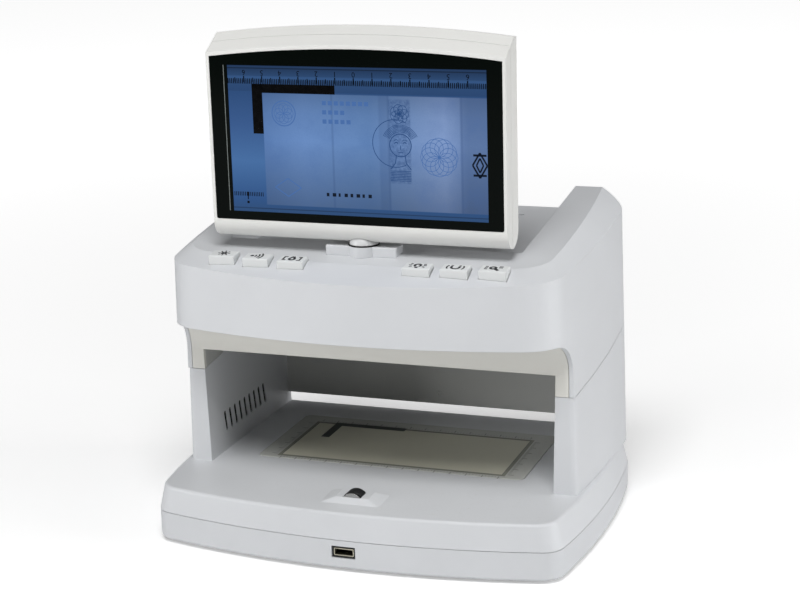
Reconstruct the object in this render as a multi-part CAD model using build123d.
from build123d import *
import math
import os

# Counterfeit bill detector: a low base with a note tunnel between two towers, an upper housing with six
# keys, and a 7 inch monitor on a swivel and tilt hinge. Millimetres, +Z up, front towards -Y.
# The origin is the centre of the footprint, on the surface that the feet stand on.

# ---- driving dimensions -------------------------------------------------------------------------
base_width = 263.0          # widest, at the bulge of the lower shell
base_depth = 191.0
foot_drop = 2.0             # how far the feet lift the shell
parting_height = 19.5       # joint between the lower shell and the deck moulding
deck_height = 35.5          # top of the deck
deck_inset_side = 4.0       # the deck edge is this much inside the lower shell, each side
deck_inset_ends = 1.2
base_front_bow = 510.0      # plan radius of the front edge
base_side_bow = 525.0       # plan radius of the sides
base_widest_y = 12.0
base_front_corner = 14.0
base_rear_corner = 24.0
wall = 2.5                  # moulded wall of every casing
seam_gap = 0.3              # open line between two mouldings
fit_gap = 0.25              # clearance round a piece dropped into a pocket
slide_gap = 0.35            # clearance round a moving key

tower_half_width = 126.3    # at deck level
tower_lean = 0.0214         # the sides come in this much per mm of height
tower_side_bow = 750.0
tower_widest_y = 45.0
tower_front_y = -33.0
tower_rear_inset = 2.0      # the towers stop this much inside the rear of the base
tower_front_corner = 3.5
tower_rear_corner = 15.0
tunnel_half_width = 108.3   # at deck level
tunnel_draft = 0.0237       # the tunnel widens this much per mm of height
tunnel_height = 71.6        # opening, from the deck to the lintel
ceiling_rise = 5.0          # the ceiling behind the lintel is this much higher
rear_slot_height = 7.7      # notes pass out under the rear panel
rear_panel_y = 88.0
seam_height = 94.5          # tower top at the tower front

top_slope = 6.73            # degrees, the roof and the tower seam rise to the rear
roof_height = 172.7         # roof at its front edge
roof_front_y = -61.5
housing_front_y = -78.5
housing_front_bow = 410.0
housing_front_corner = 25.0
lip_height = 129.5          # lower edge of the front face
cove_radius = 22.0
roof_half_width = 111.0
roof_front_bow = 540.0
roof_side_bow = 900.0
roof_corner = 20.0
roof_length = 220.0         # drawn past the rear face, which trims it
roof_widest = 71.5          # widest place, behind the roof's front edge
chamfer_depth = 15.4        # how far down the bevel body is drawn
chamfer_run_front = 47.0    # and how far out it runs over that depth
chamfer_run_side = 23.2
roof_wall = 3.0
recess_half_width = 90.0    # tray between the wings, for the folded monitor
recess_front_y = -28.5
recess_depth = 14.0

plate_width = 170.5
plate_depth = 82.0
plate_centre_y = 24.6
plate_thickness = 3.0
plate_corner = 5.0
plate_proud = 0.3
plate_ledge = 3.0

key_width = 15.8
key_depth = 9.2
key_pitch = 21.8
key_inner_x = 37.7
key_shift = 1.8             # the whole row stands this much to the right
key_proud = 2.2
key_corner = 0.8
key_overhang = 6.9          # how far the middle of the key row stands in front of the roof
key_row_bow = 1020.0
key_travel = 1.0
key_length = 9.0            # below the roof
key_flange = 1.2
key_cap_wall = 1.4

boss_centre_y = -69.5
head_centre_y = -70.9
head_width = 10.4
head_depth = 9.0
boss_width = 39.0
boss_depth = 23.0
boss_rise = 2.6
boss_top_width = 20.0
boss_top_depth = 12.5
head_rise = 2.6             # crown of the head above its boss
head_crown = 2.3            # how much lower its sides are
head_lip = 1.3              # thickness of the metal face

usb_bezel_width = 14.4
usb_bezel_height = 7.3
usb_width = 12.0
usb_height = 4.5
usb_length = 14.0
usb_x = 1.5
usb_wall = 0.5
usb_height_z = 12.1
usb_recess = 0.9

slot_count = 9
slot_pitch = 7.39
slot_first_y = -8.8
slot_width = 3.4
slot_height = 14.0
slot_centre_z = 53.7
slot_slant = 10.0

hinge_y = -42.0             # both monitor axes pass over this line
ring_height = 180.0         # top of the hinge block
block_width = 43.0
block_depth = 12.5
turret_radius = 9.6
ball_radius = 8.5
stem_radius = 4.5
stem_gap = 0.06             # running fit of the swivel stem
tilt_height = 192.5         # tilt axle, on the axis of the monitor's rounded lower edge
axle_radius = 1.5
axle_gap = 0.05
neck_width = 9.0
neck_depth = 7.0
knuckle_radius = 4.4
bracket_thickness = 2.4
bracket_gap = 0.3
tilt_range = 87.0

monitor_width = 177.6
monitor_thickness = 21.0
monitor_crest = 304.5       # highest point of the visor
monitor_top_bow = 745.0
visor_drop = 9.7            # front top edge, below the crest
visor_back = 16.5           # crest, behind the front plane
monitor_split = 9.0         # parting plane, behind the front plane
monitor_hump = 5.0
monitor_hump_width = 140.0
monitor_hump_low = 216.0
monitor_hump_high = 276.0
glass_width = 173.3
glass_low = 193.6
glass_top = 292.6
glass_thickness = 1.5
lcd_width = 154.0
lcd_height = 86.0
lcd_low = 198.2
lcd_thickness = 3.4
screw_radius = 1.4
screw_head_radius = 2.7
screw_head_height = 1.8

# ---- values that follow from the driving ones -----------------------------------------------------
half_depth = base_depth / 2
half_width = base_width / 2
floor_z = foot_drop
slope_rise = math.tan(math.radians(top_slope))
tower_rear_y = half_depth - tower_rear_inset
tunnel_top = deck_height + tunnel_height
ceiling_z = tunnel_top + ceiling_rise
roof_frame = Location((0, roof_front_y, roof_height), (top_slope, 0, 0))
recess_local_y = (recess_front_y - roof_front_y) / math.cos(math.radians(top_slope))
nose_radius = monitor_thickness / 2
monitor_front_y = hinge_y - nose_radius
monitor_back_y = hinge_y + nose_radius
far = 600.0


def roof_z(y):
    return roof_height + (y - roof_front_y) * slope_rise


def seam_z(y):
    return seam_height + (y - tower_front_y) * slope_rise


def tower_half(z):
    return tower_half_width - tower_lean * (z - deck_height)


def tunnel_half(z):
    return tunnel_half_width + tunnel_draft * (z - deck_height)


# ---- shared shapes --------------------------------------------------------------------------------
def plan_outline(front, rear, half, front_bow, side_bow, widest, front_corner, rear_corner):
    """A plan of three bowed edges and a straight rear, with rounded corners."""
    left = Pos(side_bow - half, widest) * Circle(side_bow)
    right = Pos(half - side_bow, widest) * Rot(0, 0, 180) * Circle(side_bow)
    shape = left & right
    if front_bow:
        shape = shape & (Pos(0, front + front_bow) * Rot(0, 0, 90) * Circle(front_bow))
        shape = shape & (Pos(0, rear - far / 2) * Rectangle(far, far))
    else:
        shape = shape & (Pos(0, (front + rear) / 2) * Rectangle(far, rear - front))
    if rear_corner:
        shape = fillet(shape.vertices().sort_by(Axis.Y)[-2:], rear_corner)
    return fillet(shape.vertices().sort_by(Axis.Y)[:2], front_corner)


def lower_outline(inset):
    return plan_outline(
        -half_depth + inset, half_depth - inset, half_width - inset, base_front_bow,
        base_side_bow, base_widest_y, base_front_corner - inset / 2, base_rear_corner - inset)


def deck_outline(inset):
    ends = deck_inset_ends + inset
    return plan_outline(
        -half_depth + ends, half_depth - ends, half_width - deck_inset_side - inset, base_front_bow,
        base_side_bow, base_widest_y, base_front_corner - inset / 2, base_rear_corner - inset)


def deck_body(inset, low, high):
    """The leaning skirt of the deck moulding, drawn between the parting line and the deck."""
    foot = Pos(0, 0, parting_height) * lower_outline(inset)
    brow = Pos(0, 0, deck_height) * deck_outline(inset)
    body = loft([foot.face(), brow.face()], ruled=True)
    slab = Pos(0, 0, (low + high) / 2) * Box(far, far, high - low)
    return body & slab


def tower_section(z, inset):
    return Pos(0, 0, z) * plan_outline(
        tower_front_y + inset, tower_rear_y - inset, tower_half(z) - inset, None, tower_side_bow,
        tower_widest_y, max(tower_front_corner - inset, 0.6), tower_rear_corner - inset)


def housing_section(z, inset):
    return Pos(0, 0, z) * plan_outline(
        housing_front_y + inset, tower_rear_y - inset, tower_half(z) - inset, housing_front_bow,
        tower_side_bow, tower_widest_y, housing_front_corner - inset, tower_rear_corner - inset)


def tower_body(inset, low, high):
    return loft([tower_section(low, inset).face(), tower_section(high, inset).face()], ruled=True)


def housing_body(inset, low, high):
    return loft([housing_section(low, inset).face(), housing_section(high, inset).face()], ruled=True)


def side_prism(points, half):
    """A YZ polygon drawn out along X, to both sides."""
    face = make_face(Polyline(*[(0, y, z) for y, z in points], close=True))
    return extrude(face, amount=half, dir=(1, 0, 0), both=True)


def below_seam(gap):
    """Everything under the sloping seam between the towers and the upper housing."""
    return side_prism([
        (-half_depth, floor_z), (half_depth, floor_z), (half_depth, seam_z(half_depth) - gap),
        (-half_depth, seam_z(-half_depth) - gap)], far / 2)


def tunnel_prism(grow, front, rear, low, high):
    """The tapered space between the towers, widened by grow."""
    corners = [(tunnel_half(low) + grow, low), (tunnel_half(high) + grow, high)]
    points = [(x, front, z) for x, z in corners] + [(-x, front, z) for x, z in reversed(corners)]
    face = make_face(Polyline(*points, close=True))
    return extrude(face, amount=rear - front, dir=(0, 1, 0))


def cove_profile(radius, front, low):
    """The side view of the lintel: down the tower front, a concave cove, then the soffit."""
    centre_y = tower_front_y - cove_radius
    centre_z = lip_height - cove_radius
    turn = math.radians(45)
    down = Line((0, centre_y + radius, low), (0, centre_y + radius, centre_z))
    cove = ThreePointArc(
        (0, centre_y + radius, centre_z),
        (0, centre_y + radius * math.cos(turn), centre_z + radius * math.sin(turn)),
        (0, centre_y, centre_z + radius))
    soffit = Line((0, centre_y, centre_z + radius), (0, front, centre_z + radius))
    return [down, cove, soffit]


def cove_solid(radius, half, low):
    """Everything behind and above the cove."""
    front = -half_depth
    edges = cove_profile(radius, front, low)
    top_z = lip_height - cove_radius + radius
    edges.append(Polyline((0, front, top_z), (0, front, far), (0, half_depth, far), (0, half_depth, low),
                          (0, tower_front_y - cove_radius + radius, low)))
    face = make_face(Wire([e for part in edges for e in part.edges()]))
    return extrude(face, amount=half, dir=(1, 0, 0), both=True)


def roof_body(sink):
    """The sloping roof and its bevels, sunk along its own normal, with everything below."""
    upper = plan_outline(
        0, roof_length, roof_half_width, roof_front_bow, roof_side_bow, roof_widest, roof_corner, None)
    lower = Pos(0, 0, -chamfer_depth) * plan_outline(
        -chamfer_run_front, roof_length, roof_half_width + chamfer_run_side,
        roof_front_bow + chamfer_run_front, roof_side_bow, roof_widest,
        roof_corner + chamfer_run_side / 2, None)
    cap = loft([lower.face(), upper.face()], ruled=True)
    below = Pos(0, 0, -chamfer_depth - far / 2) * Box(2 * far, 2 * far, far)
    return roof_frame * Pos(0, 0, -sink) * (cap + below)


def recess_box(grow):
    """The tray between the wings, open at the rear and above."""
    size_y = far
    block = Pos(0, recess_local_y - grow + size_y / 2, -recess_depth - grow + far / 2)
    return roof_frame * block * Box(2 * (recess_half_width + grow), size_y, far)


def screw(length):
    """A pan-head screw, head up, its shank pointing down from the origin."""
    shank = Pos(0, 0, -length / 2) * Cylinder(screw_radius, length)
    head = Pos(0, 0, screw_head_height / 2) * Cylinder(screw_head_radius, screw_head_height)
    drive = Pos(0, 0, screw_head_height) * (Box(3.2, 0.7, 1.4) + Box(0.7, 3.2, 1.4))
    return shank + head - drive


def rounded_plate(width, depth, thickness, corner):
    return extrude(RectangleRounded(width, depth, corner), amount=thickness)


def write(shape, name):
    export_step(shape, "parts/" + name + ".step")


def write_group(shapes, name):
    write(Compound(children=list(shapes)), name)


# ---- base: lower shell, feet and screws ---------------------------------------------------------------
foot_places = [(x, y) for x in (-100.0, 100.0) for y in (-66.0, 70.0)]
foot_radius = 8.0
foot_pocket = 1.2
screw_places = [(x, y) for x in (-80.0, 80.0) for y in (-72.0, 76.0)]
rocker_x = 70.0
rocker_width = 15.0
rocker_height = 10.5
jack_x = -70.0
jack_radius = 4.0
rear_pocket = 2.6           # the switch and the inlet sit this deep in the rear wall
rear_pocket_width = 24.0
rear_pocket_height = 14.0
rear_port_z = 11.0
boss_radius = 4.0
usb_front_y = -half_depth
rim_height = 2.0            # lip of the lower shell that the deck fits over


def base_tray():
    outer = extrude(lower_outline(0), amount=parting_height - seam_gap - floor_z)
    outer = Pos(0, 0, floor_z) * outer
    outer = fillet(outer.edges().group_by(Axis.Z)[0], 2.0)
    cavity = Pos(0, 0, floor_z + wall) * extrude(lower_outline(wall), amount=far)
    rim = extrude(lower_outline(wall / 2 + fit_gap), amount=parting_height + rim_height - floor_z - wall)
    rim = Pos(0, 0, floor_z + wall) * rim - cavity
    shell = (outer - cavity) + rim
    for x in (rocker_x, jack_x):
        pocket = Pos(x, half_depth - rear_pocket / 2, rear_port_z)
        liner = Pos(x, half_depth - rear_pocket - wall / 2 - 0.1, rear_port_z)
        shell = shell + liner * Box(rear_pocket_width + 2 * wall, wall + 0.2, rear_pocket_height)
        shell = shell - pocket * Box(rear_pocket_width, rear_pocket + 0.01, rear_pocket_height - 4.0)
    for x, y in screw_places:
        shell = shell + Pos(x, y, floor_z + 7.0) * Cylinder(boss_radius, 10.0)
    for x, y in screw_places:
        shell = shell - Pos(x, y, floor_z + 10.0) * Cylinder(screw_radius + fit_gap, 30.0)
        shell = shell - Pos(x, y, floor_z + 1.5) * Cylinder(screw_head_radius + fit_gap, 5.0)
    for x, y in foot_places:
        pocket = Pos(x, y, floor_z + foot_pocket / 2 - 0.5)
        shell = shell - pocket * Cylinder(foot_radius + fit_gap, foot_pocket + 1.0)
    usb = Pos(usb_x, usb_front_y, usb_height_z)
    shell = shell - usb * Box(usb_bezel_width, 12.0, usb_bezel_height)
    shell = shell - Pos(rocker_x, half_depth - 4.0, rear_port_z) * Box(
        rocker_width - 1.6 + 2 * fit_gap, 12.0, rocker_height - 2.0 + 2 * fit_gap)
    jack_hole = Pos(jack_x, half_depth - 4.0, rear_port_z) * Rot(90, 0, 0)
    shell = shell - jack_hole * Cylinder(jack_radius + fit_gap, 12.0)
    for row in range(3):
        for column in range(9):
            vent = Pos(-48.0 + column * 12.0, 10.0 + row * 16.0, floor_z)
            shell = shell - vent * extrude(SlotOverall(12.0, 2.4, rotation=90), amount=2 * wall, both=True)
    return shell


def rubber_feet():
    feet = []
    for x, y in foot_places:
        pad = Pos(x, y, (foot_drop + foot_pocket) / 2) * Cylinder(foot_radius, foot_drop + foot_pocket)
        pad = fillet(pad.edges().group_by(Axis.Z)[0], 0.8)
        feet.append(pad)
    return feet


def base_screws():
    return [Pos(x, y, floor_z + 4.0) * Rot(180, 0, 0) * screw(20.0) for x, y in screw_places]


# ---- deck moulding with both towers ---------------------------------------------------------------------
def tower_voids():
    body = tower_body(wall, 10.0, 140.0)
    core = tunnel_prism(wall, tower_front_y - 1, tower_rear_y + 1, 5.0, 150.0)
    room = body - core
    upper = Pos(0, 0, deck_height - wall - 1.0 + far / 2) * Box(far, far, far)
    return room & upper


shelf_reach = 6.3           # from the screw to the inner wall of the tower


def slot_places():
    return [slot_first_y + n * slot_pitch for n in range(slot_count)]


def speaker_slots():
    slots = []
    for y in slot_places():
        place = Pos(-tunnel_half(slot_centre_z), y, slot_centre_z) * Rot(0, 90, 0) * Rot(0, 0, slot_slant)
        slots.append(place * extrude(SlotOverall(slot_height, slot_width), amount=2 * wall, both=True))
    return slots


def head_boss():
    low = Pos(0, boss_centre_y, deck_height - 0.5) * RectangleRounded(boss_width, boss_depth, 2.0)
    high = Pos(0, boss_centre_y, deck_height + boss_rise) * RectangleRounded(
        boss_top_width, boss_top_depth, 1.5)
    return loft([low.face(), high.face()], ruled=True)


def plate_pocket():
    place = Pos(0, plate_centre_y, deck_height - plate_thickness)
    pocket = place * rounded_plate(plate_width + 2 * fit_gap, plate_depth + 2 * fit_gap,
                                   plate_thickness + 5.0, plate_corner)
    window = Pos(0, plate_centre_y, deck_height - 20.0) * rounded_plate(
        plate_width - 2 * plate_ledge, plate_depth - 2 * plate_ledge, 40.0, plate_corner)
    return pocket + window


def plate_frame():
    """The ledge under the deck that carries the document plate."""
    outer = rounded_plate(plate_width + 2 * plate_ledge, plate_depth + 2 * plate_ledge, wall, plate_corner)
    return Pos(0, plate_centre_y, deck_height - plate_thickness - wall) * outer


def base_deck():
    outer = deck_body(0, parting_height, deck_height)
    outer = fillet(outer.edges().group_by(Axis.Z)[-1], 1.8)
    towers = tower_body(0, deck_height - 3.0, 150.0) & below_seam(seam_gap / 2)
    towers = towers - tunnel_prism(0, tower_front_y - 1, half_depth, deck_height, 160.0)
    base_room = deck_body(wall, parting_height, deck_height - wall)
    rebate = Pos(0, 0, parting_height - 1.0) * extrude(lower_outline(wall / 2), amount=rim_height + 1.3)
    shell = outer - base_room - rebate + towers + head_boss() + plate_frame()
    shell = shell - tower_voids()
    for x, y in tower_posts:
        shelf = Pos(x, y, shelf_height + shelf_thickness / 2) * Box(2 * shelf_reach, 14.0, shelf_thickness)
        outward = Pos(x * 1.05, y, shelf_height + shelf_thickness / 2) * Box(8.0, 14.0, shelf_thickness)
        shell = shell + ((shelf + outward) & tower_body(0.5, 10.0, 140.0))
        shell = shell - Pos(x, y, shelf_height) * Cylinder(screw_radius + fit_gap, 10.0)
    shell = shell - plate_pocket()
    head_hole = Pos(0, head_centre_y, deck_height)
    shell = shell - head_hole * Box(head_width + 2 * fit_gap, head_depth + 2 * fit_gap, 12.0)
    for slot in speaker_slots():
        shell = shell - slot
    for x, y in screw_places:
        post = Pos(x, y, (deck_height - wall + floor_z + 12.4) / 2)
        height = deck_height - wall - floor_z - 12.4
        shell = shell + post * Cylinder(boss_radius, height + 0.4)
        shell = shell - Pos(x, y, floor_z + 18.0) * Cylinder(screw_radius + 0.02, 14.0)
    return shell


def document_plate():
    plate = Pos(0, plate_centre_y, deck_height - plate_thickness + 0.05) * rounded_plate(
        plate_width, plate_depth, plate_thickness + plate_proud - 0.05, plate_corner - fit_gap)
    return fillet(plate.edges().group_by(Axis.Z)[-1], 0.4)


diffuser_thickness = 1.5
board_thickness = 1.6


def plate_diffuser():
    gap = deck_height - plate_thickness - diffuser_thickness - 0.1
    return Pos(0, plate_centre_y, gap) * rounded_plate(
        plate_width - 2 * plate_ledge - 1.0, plate_depth - 2 * plate_ledge - 1.0, diffuser_thickness, 4.0)


def backlight_board():
    base_z = 20.0
    board = Pos(0, plate_centre_y, base_z) * rounded_plate(156.0, 70.0, board_thickness, 2.0)
    for column in range(8):
        for row in range(4):
            chip = Pos(-66.5 + column * 19.0, plate_centre_y - 25.5 + row * 17.0, base_z + board_thickness)
            board = board + chip * Pos(0, 0, 0.7) * Box(3.5, 2.8, 1.4)
    return board


main_board_z = 9.0
main_board_y = -20.0


def main_board():
    board = Pos(0, main_board_y, main_board_z) * rounded_plate(130.0, 90.0, board_thickness, 3.0)
    top = main_board_z + board_thickness
    for x, y, w, d, h in ((-20, -10, 20, 20, 1.6), (18, -18, 14, 14, 1.4), (42, 6, 10, 22, 5.0),
                          (-52, 8, 12, 12, 6.0), (0, -36, 9, 6, 2.4)):
        board = board + Pos(x, main_board_y + y, top + h / 2) * Box(w, d, h)
    for n in range(4):
        board = board + Pos(30.0 + n * 9.0, main_board_y - 32.0, top + 3.5) * Cylinder(3.0, 7.0)
    return board


def board_posts():
    posts = []
    for x in (-58.0, 58.0):
        for y in (main_board_y - 38.0, main_board_y + 38.0):
            height = main_board_z - floor_z - wall
            posts.append(Pos(x, y, floor_z + wall + height / 2) * Cylinder(3.0, height))
    return posts


# ---- front USB socket, rear inlet and power switch -----------------------------------------------------
def usb_bezel():
    outer = Pos(usb_x, usb_front_y + 3.6, usb_height_z) * Box(
        usb_bezel_width - 2 * 0.1, 5.0, usb_bezel_height - 2 * 0.1)
    flange = Pos(usb_x, usb_front_y + wall + 2.6, usb_height_z) * Box(
        usb_bezel_width + 4.0, 2.0, usb_bezel_height + 3.0)
    hole = Pos(usb_x, usb_front_y + 3.6, usb_height_z) * Box(usb_width + 0.3, 9.0, usb_height + 0.3)
    return outer + flange - hole


def usb_socket():
    back = usb_front_y + usb_recess + usb_length / 2
    shell = Pos(usb_x, back, usb_height_z) * Box(usb_width, usb_length, usb_height)
    shell = fillet(shell.edges().filter_by(Axis.Y), 0.6)
    room = Pos(usb_x, back - 1.0, usb_height_z) * Box(
        usb_width - 2 * usb_wall, usb_length, usb_height - 2 * usb_wall)
    return shell - room


def usb_tongue():
    back = usb_front_y + usb_recess + usb_length / 2
    return Pos(usb_x, back + 1.2, usb_height_z + 0.6) * Box(usb_width - 1.8, usb_length - 4.8, 1.4)


def dc_inlet():
    face_y = half_depth - rear_pocket
    flange = Pos(jack_x, face_y + 0.6, rear_port_z) * Rot(90, 0, 0) * Cylinder(4.8, 1.2)
    barrel = Pos(jack_x, face_y - 5.0, rear_port_z) * Rot(90, 0, 0) * Cylinder(jack_radius, 10.0)
    bore = Pos(jack_x, face_y - 4.0, rear_port_z) * Rot(90, 0, 0) * Cylinder(2.8, 11.0)
    pin = Pos(jack_x, face_y - 5.2, rear_port_z) * Rot(90, 0, 0) * Cylinder(1.0, 9.0)
    return flange + barrel - bore + pin


rocker_face_proud = 1.4


def switch_frame():
    face_y = half_depth - rear_pocket
    flange = Pos(rocker_x, face_y + 0.6, rear_port_z) * Box(rocker_width, 1.2, rocker_height - 1.0)
    body = Pos(rocker_x, face_y - 5.0, rear_port_z) * Box(rocker_width - 1.6, 10.0, rocker_height - 2.0)
    room = Pos(rocker_x, face_y - 2.5, rear_port_z) * Box(rocker_width - 3.4, 9.0, rocker_height - 4.4)
    pin_hole = Pos(rocker_x, face_y - 2.0, rear_port_z) * Cylinder(0.8 + 0.05, rocker_height - 3.0)
    return flange + body - room - pin_hole


def power_rocker():
    """A dished cap on a cross pin, seen from above as a wide shallow V."""
    face_y = half_depth - rear_pocket
    half = (rocker_width - 3.4) / 2 - 0.6
    top = face_y + rocker_face_proud - 0.3
    points = [(-half, top + 0.5), (0, top - 0.5), (half, top + 0.5), (half - 0.6, face_y - 2.4),
              (0, face_y - 3.6), (-half + 0.6, face_y - 2.4)]
    profile = make_face(Polyline(*[(rocker_x + x, y, 0) for x, y in points], close=True))
    cap = extrude(profile, amount=(rocker_height - 5.0) / 2, dir=(0, 0, 1), both=True)
    pin = Pos(rocker_x, face_y - 2.0, 0) * Cylinder(0.8, rocker_height - 3.4)
    return Pos(0, 0, rear_port_z) * (cap + pin)


# ---- magnetic head -------------------------------------------------------------------------------------
def head_arch(front, rear, drop, low):
    """A block with an arched top, drawn from front to rear."""
    half = head_width / 2 - drop
    top = deck_height + boss_rise + head_rise - drop
    side = top - head_crown
    crown = ThreePointArc((-half, front, side), (0, front, top), (half, front, side))
    rest = Polyline((half, front, side), (half, front, low), (-half, front, low), (-half, front, side))
    face = make_face([crown] + list(rest.edges()))
    return extrude(face, amount=rear - front, dir=(0, 1, 0))


def head_holder():
    front = head_centre_y - head_depth / 2 + head_lip + 0.1
    flange = Pos(0, head_centre_y, deck_height - wall - 1.2) * Box(head_width + 6.0, head_depth + 6.0, 2.0)
    block = head_arch(front, head_centre_y + head_depth / 2, 0, deck_height - 8.0)
    pocket = Pos(0, head_centre_y - head_depth / 2, deck_height) * Box(
        head_width + 1.0, 2 * head_lip + 0.2, 40.0)
    return flange - pocket + block


def magnetic_head():
    front = head_centre_y - head_depth / 2
    return head_arch(front, front + head_lip, 0.3, deck_height - 7.0)


def head_spring():
    """A bent leaf under the head that presses it to the note."""
    low = deck_height - 10.0
    leaf = Pos(0, head_centre_y + 0.8, low) * Box(26.0, 4.0, 0.6)
    cup = Pos(0, head_centre_y + 0.8, low + 1.05) * Box(7.0, 4.0, 1.7)
    return leaf + cup


# ---- loudspeaker behind the slots --------------------------------------------------------------------
def speaker():
    middle = slot_first_y + slot_pitch * (slot_count - 1) / 2
    face_x = -tunnel_half(slot_centre_z) - wall - 0.6
    frame = Pos(face_x - 1.0, middle, slot_centre_z) * Rot(0, 90, 0) * rounded_plate(24.0, 40.0, 1.0, 4.0)
    cone = Pos(face_x - 3.4, middle, slot_centre_z) * Rot(0, 90, 0) * Cone(6.0, 10.5, 5.0)
    magnet = Pos(face_x - 6.6, middle, slot_centre_z) * Rot(0, 90, 0) * Cylinder(6.4, 1.6)
    return frame + cone + magnet


# ---- upper housing -----------------------------------------------------------------------------------
liner_half = 117.7
liner_gap = 0.3
post_radius = 3.2
shelf_height = 84.0         # ledges inside the towers that the housing is screwed to
shelf_thickness = 3.0
tower_posts = [(x, y) for x in (-116.5, 116.5) for y in (-14.0, 68.0)]
liner_posts = [(x, y) for x in (-100.0, 100.0) for y in (10.0, 42.0)]
key_places = [(key_shift + side * (key_inner_x + n * key_pitch), n)
              for side in (-1, 1) for n in range(3)]
block_screw_x = 16.0


def key_front_local(x):
    """Where the cap's front face stands, in the roof's own frame: the row is slightly bowed."""
    return x * x / (2 * key_row_bow) - key_overhang


def key_frame(x):
    return roof_frame * Pos(x, key_front_local(x) + key_depth / 2, 0)


def key_hole(x):
    return key_frame(x) * Pos(0, 0, -6.0) * Box(key_width + 2 * slide_gap, key_depth + 2 * slide_gap, 20.0)


def upper_housing():
    outer = housing_body(0, 60.0, 220.0) & roof_body(0)
    outer = outer & cove_solid(cove_radius, far / 2, 60.0)
    outer = outer - below_seam(-seam_gap / 2)
    outer = outer - recess_box(0)
    room = housing_body(wall, 60.0, 220.0) & roof_body(roof_wall)
    room = room - recess_box(wall)
    shell = outer - room
    rim = cove_solid(cove_radius, far / 2, 60.0) - cove_solid(cove_radius + wall, far / 2, 50.0)
    rim = rim - Pos(0, 0, seam_height) * Box(2 * (liner_half + liner_gap), far, far)
    rim = rim & outer & (Pos(0, 0, lip_height + wall - far / 2) * Box(far, far, far))
    rim = rim - Pos(0, tower_front_y + wall + far / 2, 0) * Box(far, far, far)
    shell = shell + rim
    for x, y in tower_posts:
        low = shelf_height + shelf_thickness + 0.1
        top = roof_z(y) - 1.0
        post = Pos(x, y, (low + top) / 2) * Cylinder(post_radius, top - low)
        shell = shell + (post & housing_body(0.5, 60.0, 220.0) & roof_body(0.5))
        shell = shell - Pos(x, y, low) * Cylinder(screw_radius + 0.02, 24.0)
    for x, y in liner_posts:
        low = ceiling_z + wall + 0.1
        top = roof_z(y) - 1.0
        shell = shell + Pos(x, y, (low + top) / 2) * Cylinder(post_radius + 0.6, top - low)
        shell = shell - Pos(x, y, low) * Cylinder(screw_radius + 0.02, 24.0)
    for x, n in key_places:
        shell = shell - key_hole(x)
    shell = shell - Pos(0, hinge_y, ring_height) * Cylinder(stem_radius + 1.5, 40.0)
    for x in (-block_screw_x, block_screw_x):
        shell = shell - Pos(x, hinge_y, ring_height - 8.0) * Cylinder(screw_radius + fit_gap, 20.0)
    for x in (-60.0, 60.0):
        shell = shell - Pos(x, 77.0, roof_z(77.0) - recess_depth) * Cylinder(1.6, 12.0)
    return shell


# ---- liner of the note tunnel ------------------------------------------------------------------------
lens_y = 24.6
lamp_front_y = -18.0
lamp_rear_y = 70.0
lamp_half = 90.0
lamp_depth = 12.0


dimple_height = 50.7        # moulding gate, a shallow round mark in the rear panel


def tunnel_liner():
    envelope = housing_body(wall + liner_gap, 30.0, 200.0)
    slab = Pos(0, 0, seam_height) * Box(2 * liner_half, far, 200.0)
    envelope = envelope & slab
    skin = cove_solid(cove_radius, far / 2, 30.0) - cove_solid(cove_radius + wall, far / 2, 20.0)
    skin = skin - Pos(0, 0, lip_height + wall + far / 2) * Box(far, far, far)
    skin = skin - (Pos(0, -half_depth - far / 2 + 10.0, 0) * Box(far, far, 2 * (lip_height - 1.0)))
    skin = skin - Pos(0, tower_front_y + wall + far / 2, 0) * Box(far, far, far)
    skin = skin - tunnel_prism(0, -half_depth, half_depth, 5.0, tunnel_top)
    walls = tunnel_prism(wall, tower_front_y, rear_panel_y + wall, 60.0, ceiling_z + wall)
    walls = walls - tunnel_prism(0, tower_front_y - 1, rear_panel_y, 50.0, ceiling_z)
    lintel = Pos(0, tower_front_y + wall / 2, (tunnel_top + lip_height) / 2) * Box(
        2 * (tunnel_half(tunnel_top) + wall), wall, lip_height - tunnel_top)
    lintel = lintel & cove_solid(cove_radius, far / 2, 30.0)
    body = (skin + walls + lintel) & envelope
    body = body - below_seam(-seam_gap / 2)
    panel_half = tunnel_half_width - fit_gap
    panel_low = deck_height + rear_slot_height
    panel = Pos(0, rear_panel_y + wall / 2, (panel_low + ceiling_z + wall) / 2) * Box(
        2 * panel_half, wall, ceiling_z + wall - panel_low)
    body = body + panel
    body = body - Pos(0, lens_y, ceiling_z) * Cylinder(11.0 + fit_gap, 20.0)
    for y in (lamp_front_y, lamp_rear_y):
        body = body - Pos(0, y, ceiling_z) * Box(2 * lamp_half, lamp_depth, 20.0)
    body = body - Pos(0, rear_panel_y, dimple_height) * Rot(90, 0, 0) * Cylinder(1.8, 1.2)
    for x, y in liner_posts:
        body = body - Pos(x, y, ceiling_z) * Cylinder(screw_radius + fit_gap, 10.0)
        body = body - Pos(x, y, ceiling_z) * Cylinder(screw_head_radius + fit_gap, 2.0)
    return body


def housing_screws():
    """Four screws up through the tower ledges and four up through the tunnel ceiling."""
    screws = [Pos(x, y, shelf_height - 0.05) * Rot(180, 0, 0) * screw(11.0) for x, y in tower_posts]
    screws += [Pos(x, y, ceiling_z + 0.95) * Rot(180, 0, 0) * screw(9.0) for x, y in liner_posts]
    return screws


def lamp_covers():
    covers = []
    for y in (lamp_front_y, lamp_rear_y):
        lens = Pos(0, y, ceiling_z + (wall + 0.3) / 2) * Box(
            2 * lamp_half - 0.5, lamp_depth - 0.5, wall + 0.3)
        flange = Pos(0, y, ceiling_z + wall + 0.6) * Box(2 * lamp_half + 4.0, lamp_depth + 4.0, 1.0)
        covers.append(lens + flange)
    return covers


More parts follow.
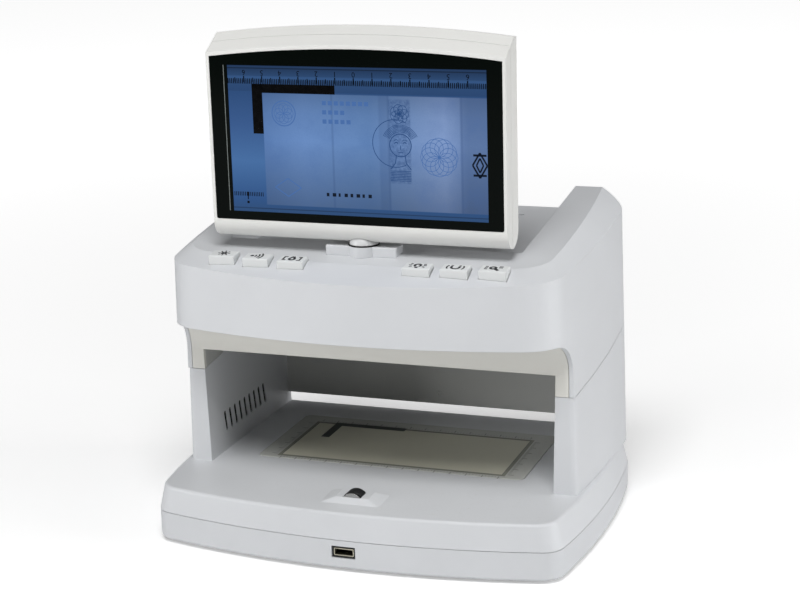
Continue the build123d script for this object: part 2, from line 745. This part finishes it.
def uv_led_bars():
    bars = []
    for y in (lamp_front_y, lamp_rear_y):
        z = ceiling_z + wall + 9.0
        bar = Pos(0, y, z + board_thickness / 2) * Box(2 * lamp_half, 11.0, board_thickness)
        for n in range(9):
            led = Pos(-80.0 + n * 20.0, y, z - 1.0) * Cylinder(2.5, 2.4)
            dome = Pos(-80.0 + n * 20.0, y, z - 2.0) * Sphere(2.5)
            bar = bar + led + dome
        bars.append(bar)
    return bars


def lamp_carriers():
    """Bent brackets that hold each lamp board over its window."""
    carriers = []
    for y in (lamp_front_y, lamp_rear_y):
        low = ceiling_z + wall + 1.2
        top = ceiling_z + wall + 9.0 + board_thickness
        for x in (-lamp_half - 8.0, lamp_half + 8.0):
            side = 1 if x > 0 else -1
            post = Pos(x, y, (low + top) / 2 - 0.6) * Box(4.0, 10.0, top - low + 1.2)
            arm = Pos(x - side * 6.0, y, top + 0.8) * Box(16.0, 10.0, 1.6)
            carriers.append(post + arm)
    return carriers


# ---- camera ---------------------------------------------------------------------------------------------
def camera_body():
    low = ceiling_z + 0.8
    barrel = Pos(0, lens_y, low + 7.0) * Cylinder(8.0, 12.0)
    collar = Pos(0, lens_y, low + 1.1) * Cylinder(11.0, 2.2)
    bore = Pos(0, lens_y, low) * Cylinder(6.0 + 0.05, 18.0)
    return barrel + collar - bore


def camera_lens():
    low = ceiling_z + 1.2
    glass = Pos(0, lens_y, low + 3.0) * Cylinder(6.0, 6.0)
    return fillet(glass.edges().group_by(Axis.Z)[0], 1.6)


def camera_board():
    low = ceiling_z + 0.8 + 13.0
    board = Pos(0, lens_y, low) * rounded_plate(38.0, 30.0, board_thickness, 2.0)
    return board + Pos(0, lens_y, low + board_thickness + 1.0) * Box(12.0, 12.0, 2.0)


def camera_bracket():
    """A folded steel bridge over the ceiling that holds the camera board."""
    low = ceiling_z + wall + 0.05
    top = ceiling_z + 0.8 + 13.0
    bridge = Pos(0, lens_y, top - 0.65) * Box(54.0, 22.0, 1.2)
    bridge = bridge - Pos(0, lens_y, top) * Cylinder(8.4, 10.0)
    for x in (-27.0, 27.0):
        bridge = bridge + Pos(x, lens_y, (low + top) / 2) * Box(1.2, 22.0, top - low - 0.1)
        bridge = bridge + Pos(x * 1.15, lens_y, low + 0.6) * Box(9.0, 22.0, 1.2)
    return bridge


# ---- keys and their switches ---------------------------------------------------------------------------
def key_cap(x):
    """A cap that stands over the roof edge, with a stem and a keeper flange under the panel."""
    outer = Pos(0, 0, (key_proud - key_length) / 2) * Box(key_width, key_depth, key_length + key_proud)
    outer = fillet(outer.edges().group_by(Axis.Z)[-1], key_corner)
    room = Pos(0, 0, -key_length / 2 - key_cap_wall) * Box(
        key_width - 2 * key_cap_wall, key_depth - 2 * key_cap_wall, key_length)
    stem = Pos(0, 0, -key_length / 2) * Box(3.0, 3.0, key_length)
    flange = Pos(0, 0, -key_length + 0.5) * Box(key_width + 2 * key_flange + 1.0, key_depth - 1.0, 1.0)
    flange = flange - Pos(0, 0, -key_length) * Box(
        key_width - 2 * key_cap_wall, key_depth - 2 * key_cap_wall, 6.0)
    return key_frame(x) * (outer - room + stem + flange)


def key_switches():
    switches = []
    for x, n in key_places:
        body = Pos(0, 0, -key_length - 4.4) * Box(6.2, 6.2, 3.6)
        plunger = Pos(0, 0, -key_length - key_travel - 0.9) * Cylinder(1.7, 1.6)
        switches.append(key_frame(x) * (body + plunger))
    return switches


def control_board():
    """Two narrow boards on one strip, parallel to the roof, under the keys."""
    top = -key_length - 6.2 - 0.05
    front = key_front_local(key_inner_x)
    middle = front + 17.0 / 2
    length = 2 * (key_inner_x + 2 * key_pitch) + 22.0
    strip = Pos(0, middle, top - board_thickness / 2) * Box(length, 17.0, board_thickness)
    strip = strip - Pos(0, middle + 12.0, top) * Box(56.0, 20.0, 10.0)
    return roof_frame * strip


# ---- hinge ------------------------------------------------------------------------------------------
washer_radius = 9.0
washer_thickness = 1.6
washer_proud = 0.8


def hinge_block():
    """The fixed foot of the hinge: a bar on the roof with a round turret in its middle."""
    low = roof_z(hinge_y) - 4.0
    height = ring_height - low
    bar = Pos(0, hinge_y, low + height / 2) * Box(block_width, block_depth, height)
    bar = fillet(bar.edges().filter_by(Axis.Z), 1.0)
    bar = fillet(bar.edges().group_by(Axis.Z)[-1], 0.6)
    turret = Pos(0, hinge_y, low + height / 2) * Cylinder(turret_radius, height)
    body = bar + turret
    under = roof_body(0)
    body = body - under
    body = body - Pos(0, hinge_y, ring_height) * Cylinder(stem_radius + stem_gap, 60.0)
    body = body - Pos(0, hinge_y, ring_height) * Cylinder(
        washer_radius + 0.05, 2 * (washer_thickness - washer_proud))
    for x in (-block_screw_x, block_screw_x):
        body = body - Pos(x, hinge_y, ring_height - 7.0) * Cylinder(screw_radius + 0.02, 11.0)
    return body


def swivel_washer():
    disc = Pos(0, hinge_y, ring_height + washer_proud - washer_thickness / 2) * Cylinder(
        washer_radius, washer_thickness)
    return disc - Pos(0, hinge_y, ring_height) * Cylinder(stem_radius + 0.1, 20.0)


def swivel_ball():
    """The turning half of the hinge: a ball, its stem, and the neck that holds the tilt axle."""
    ball = Pos(0, hinge_y, ring_height) * Sphere(ball_radius)
    lower = Pos(0, hinge_y, ring_height + washer_proud - far / 2) * Box(far, far, far)
    ball = ball - lower
    stem_low = roof_z(hinge_y) - 14.0
    stem_top = ring_height + 1.0
    stem = Pos(0, hinge_y, (stem_low + stem_top) / 2) * Cylinder(stem_radius, stem_top - stem_low)
    neck_low = ring_height + washer_proud + 1.0
    neck_length = tilt_height - neck_low
    neck = Pos(0, hinge_y, neck_low + neck_length / 2) * Box(neck_width, neck_depth, neck_length)
    knuckle = Pos(0, hinge_y, tilt_height) * Rot(0, 90, 0) * Cylinder(knuckle_radius, neck_width)
    hole = Pos(0, hinge_y, tilt_height) * Rot(0, 90, 0) * Cylinder(axle_radius + axle_gap, 60.0)
    cable_way = Pos(0, hinge_y, ring_height - 16.0) * Cylinder(2.0, 32.0)
    return ball + stem + neck + knuckle - hole - cable_way


def swivel_retainer():
    """A nut and spring washer on the lower end of the stem."""
    top = roof_z(hinge_y) - roof_wall - 5.0
    ring = Pos(0, hinge_y, top - 2.0) * Cylinder(8.0, 4.0)
    return ring - Pos(0, hinge_y, top) * Cylinder(stem_radius + 0.02, 20.0)


def hinge_screws():
    """Two screws that come up through the roof into the hinge block."""
    low = roof_z(hinge_y) - roof_wall - 0.9
    return [Pos(x, hinge_y, low) * Rot(180, 0, 0) * screw(7.0) for x in (-block_screw_x, block_screw_x)]


bracket_x = neck_width / 2 + bracket_gap + bracket_thickness / 2
bracket_top = 214.0


def tilt_brackets():
    plates = []
    for side in (-1, 1):
        place = Pos(side * bracket_x, hinge_y, tilt_height) * Rot(0, 90, 0)
        eye = place * Cylinder(knuckle_radius, bracket_thickness)
        arm_low = tilt_height
        arm = Pos(side * bracket_x, hinge_y + 0.4, (arm_low + bracket_top) / 2) * Box(
            bracket_thickness, 5.0, bracket_top - arm_low)
        foot = Pos(side * (bracket_x + 6.0), hinge_y + 3.6, bracket_top - 5.0) * Box(14.0, 1.6, 10.0)
        tie = Pos(side * bracket_x, hinge_y + 3.4, bracket_top - 5.0) * Box(bracket_thickness, 2.0, 10.0)
        hole = place * Cylinder(axle_radius + 0.01, 20.0)
        plates.append(eye + arm + foot + tie - hole)
    return plates


def tilt_axle():
    length = 2 * (bracket_x + bracket_thickness / 2) + 2.4
    return Pos(0, hinge_y, tilt_height) * Rot(0, 90, 0) * Cylinder(axle_radius, length)


def friction_clips():
    """Sprung washers on both ends of the axle, which hold the tilt where it is put."""
    clips = []
    for side in (-1, 1):
        x = side * (bracket_x + bracket_thickness / 2 + 0.55)
        place = Pos(x, hinge_y, tilt_height) * Rot(0, 90, 0)
        ring = place * Cylinder(3.4, 1.0)
        clips.append(ring - place * Cylinder(axle_radius + 0.01, 4.0))
    return clips


# ---- monitor ----------------------------------------------------------------------------------------
def monitor_top(sink):
    """The arched visor: a slanting ridge turned about a far axis under the screen."""
    centre_z = monitor_crest - monitor_top_bow
    crest_y = monitor_front_y + visor_back
    crest_r = monitor_top_bow - sink
    points = [
        (monitor_front_y - 5.0, crest_r - visor_drop - 5.0 * visor_drop / visor_back), (crest_y, crest_r),
        (monitor_back_y + 8.0, crest_r - 1.6), (monitor_back_y + 8.0, crest_r - 200.0),
        (monitor_front_y - 5.0, crest_r - 200.0)]
    face = make_face(Polyline(*[(0, y, r + centre_z) for y, r in points], close=True))
    axis = Axis((0, 0, centre_z), (0, 1, 0))
    swept = revolve(face, axis, revolution_arc=24.0)
    return swept.rotate(axis, -12.0)


def monitor_section(inset):
    """Side view: flat front and back, and a rounded lower edge about the tilt axle."""
    radius = nose_radius - inset
    nose = Pos(0, hinge_y, tilt_height) * Rot(0, 90, 0) * Cylinder(radius, monitor_width - 2 * inset)
    height = monitor_crest + 10.0 - tilt_height
    slab = Pos(0, hinge_y, tilt_height + height / 2) * Box(monitor_width - 2 * inset, 2 * radius, height)
    return nose + slab


def monitor_shape(inset):
    """The closed outer form, or its inside at a given wall."""
    tall = Pos(0, 0, tilt_height - 20.0) * Box(far, far, 60.0)
    top = monitor_top(inset) + tall
    body = monitor_section(inset) & top
    hump_mid = (monitor_hump_low + monitor_hump_high) / 2
    hump_height = monitor_hump_high - monitor_hump_low - 2 * inset
    hump_width = monitor_hump_width - 2 * inset
    low_place = Pos(0, monitor_back_y - inset - 0.5, hump_mid) * Rot(-90, 0, 0)
    low_face = low_place * RectangleRounded(hump_width, hump_height, 8.0)
    high_place = Pos(0, monitor_back_y - inset + monitor_hump, hump_mid) * Rot(-90, 0, 0)
    high_face = high_place * RectangleRounded(hump_width - 10.0, hump_height - 10.0, 6.0)
    return body + loft([low_face.face(), high_face.face()], ruled=True)


def hinge_sweep():
    """The space the ball and neck pass through as the monitor folds back."""
    size = ball_radius + 0.4
    reach = tilt_height - ring_height
    axis = Axis((0, hinge_y, tilt_height), (1, 0, 0))
    ring = Pos(0, hinge_y, tilt_height) * Rot(0, 90, 0) * Torus(reach, size)
    swept = ring & (Pos(0, hinge_y + far / 2, tilt_height - far / 2) * Box(far, far, far))
    first = Pos(0, hinge_y, ring_height) * Sphere(size)
    last = first.rotate(axis, tilt_range)
    hub = Pos(0, hinge_y, tilt_height) * Rot(0, 90, 0) * Cylinder(
        nose_radius - wall - 0.2, 2 * (bracket_x + bracket_thickness + 3.0))
    return [swept, first, last, hub]


def glass_outline(grow):
    """The arched front window, drawn in the XZ plane."""
    radius = monitor_top_bow - visor_drop - (monitor_crest - visor_drop - glass_top)
    top = Pos(0, 0, glass_top - radius) * Rot(90, 0, 0) * Circle(radius + grow)
    box = Pos(0, 0, (glass_low + glass_top) / 2) * Rot(90, 0, 0) * RectangleRounded(
        glass_width + 2 * grow, glass_top - glass_low + 2 * grow, 1.2)
    return top & box


def half_space(y, front):
    """A block in front of a plane, or behind it."""
    centre = y - far / 2 if front else y + far / 2
    return Pos(0, centre, tilt_height) * Box(far, far, far)


def monitor_screw_places():
    return [(x, z) for x in (-83.5, 83.5) for z in (202.0, 285.0)]


def monitor_front():
    shell = monitor_shape(0) & half_space(monitor_front_y + monitor_split - seam_gap / 2, True)
    shell = shell - monitor_shape(wall)
    bay = Pos(0, monitor_front_y, 0) * glass_outline(0.15)
    shell = shell - extrude(bay.face(), amount=glass_thickness + 0.1, dir=(0, 1, 0))
    window = Pos(0, monitor_front_y - 1.0, lcd_low + lcd_height / 2) * Box(
        lcd_width + 4.0, 12.0, lcd_height + 4.0)
    shell = shell - window
    for space in hinge_sweep():
        shell = shell - space
    for x, z in monitor_screw_places():
        boss = Pos(x, monitor_front_y + 1.5 + wall, z) * Rot(90, 0, 0) * Cylinder(3.2, 2 * wall)
        hole = Pos(x, monitor_front_y + 2.2 + wall, z) * Rot(90, 0, 0) * Cylinder(screw_radius + 0.02, 4.0)
        shell = shell + boss - hole
    return shell


vent_rows = 4
vent_low = 226.0
vent_pitch = 9.0


def monitor_back():
    shell = monitor_shape(0) & half_space(monitor_front_y + monitor_split + seam_gap / 2, False)
    shell = shell - monitor_shape(wall)
    for space in hinge_sweep():
        shell = shell - space
    for x, z in monitor_screw_places():
        tube = Pos(x, (monitor_front_y + monitor_split + monitor_back_y) / 2, z) * Rot(90, 0, 0)
        length = monitor_back_y - monitor_front_y - monitor_split - 1.0
        shell = shell + (tube * Cylinder(4.2, length))
        shell = shell - tube * Cylinder(screw_radius + fit_gap, 40.0)
        sink = Pos(x, monitor_back_y, z) * Rot(90, 0, 0)
        shell = shell - sink * Cylinder(screw_head_radius + fit_gap, 6.0)
    for row in range(vent_rows):
        vent = Pos(0, monitor_back_y + monitor_hump, vent_low + row * vent_pitch) * Rot(90, 0, 0)
        shell = shell - vent * extrude(SlotOverall(70.0, 2.4), amount=6.0, both=True)
    return shell


def screen_glass():
    bay = Pos(0, monitor_front_y, 0) * glass_outline(0)
    glass = extrude(bay.face(), amount=glass_thickness, dir=(0, 1, 0))
    return glass


def lcd_panel():
    front = monitor_front_y + glass_thickness + 0.15
    active = Pos(0, front + 0.6, lcd_low + lcd_height / 2) * Box(lcd_width, 1.2, lcd_height)
    can = Pos(0, front + wall + 0.4 + lcd_thickness / 2, lcd_low + lcd_height / 2) * Box(
        lcd_width + 3.0, lcd_thickness, lcd_height + 3.0)
    link = Pos(0, front + 1.6, lcd_low + lcd_height / 2) * Box(lcd_width, 3.2, lcd_height)
    return active + can + link


def monitor_board():
    y = monitor_front_y + 13.0
    board = Pos(0, y, 246.0) * Box(110.0, board_thickness, 56.0)
    for x, z, w, h in ((-20.0, 250.0, 18.0, 18.0), (22.0, 240.0, 12.0, 16.0), (40.0, 262.0, 14.0, 8.0)):
        board = board + Pos(x, y + board_thickness / 2 + 0.8, z) * Box(w, 1.6, h)
    return board


def monitor_screws():
    head_y = monitor_back_y - 2.9
    return [Pos(x, head_y, z) * Rot(-90, 0, 0) * screw(13.0) for x, z in monitor_screw_places()]


# ---- every node -------------------------------------------------------------------------------------
left_keys = ["key_watermark", "key_infrared", "key_ultraviolet"]
right_keys = ["key_white_light", "key_magnetic", "key_microprint"]
key_names = left_keys + right_keys

if __name__ == "__main__":
    tray = base_tray()
    for post in board_posts():
        tray = tray + post
    write(tray, "base_tray")
    write_group(rubber_feet(), "rubber_feet")
    write_group(base_screws(), "base_screws")
    write(base_deck(), "base_deck")
    write(document_plate(), "document_plate")
    write(plate_diffuser(), "plate_diffuser")
    write(backlight_board(), "backlight_board")
    write(main_board(), "main_board")
    write(usb_bezel(), "usb_bezel")
    write(usb_socket(), "usb_socket")
    write(usb_tongue(), "usb_tongue")
    write(dc_inlet(), "dc_inlet")
    write(switch_frame(), "switch_frame")
    write(power_rocker(), "power_rocker")
    write(head_holder(), "head_holder")
    write(magnetic_head(), "magnetic_head")
    write(head_spring(), "head_spring")
    write(speaker(), "speaker")
    write(upper_housing(), "upper_housing")
    write(tunnel_liner(), "tunnel_liner")
    write_group(housing_screws(), "housing_screws")
    write_group(lamp_covers(), "lamp_covers")
    write_group(uv_led_bars(), "uv_led_bars")
    write_group(lamp_carriers(), "lamp_carriers")
    write(camera_body(), "camera_body")
    write(camera_lens(), "camera_lens")
    write(camera_board(), "camera_board")
    write(camera_bracket(), "camera_bracket")
    for (x, n), name in zip(key_places, key_names):
        write(key_cap(x), name)
    write_group(key_switches(), "key_switches")
    write(control_board(), "control_board")
    write(hinge_block(), "hinge_block")
    write(swivel_washer(), "swivel_washer")
    write(swivel_ball(), "swivel_ball")
    write(swivel_retainer(), "swivel_retainer")
    write_group(hinge_screws(), "hinge_screws")
    write_group(tilt_brackets(), "tilt_brackets")
    write(tilt_axle(), "tilt_axle")
    write_group(friction_clips(), "friction_clips")
    write(monitor_front(), "monitor_front")
    write(monitor_back(), "monitor_back")
    write(screen_glass(), "screen_glass")
    write(lcd_panel(), "lcd_panel")
    write(monitor_board(), "monitor_board")
    write_group(monitor_screws(), "monitor_screws")
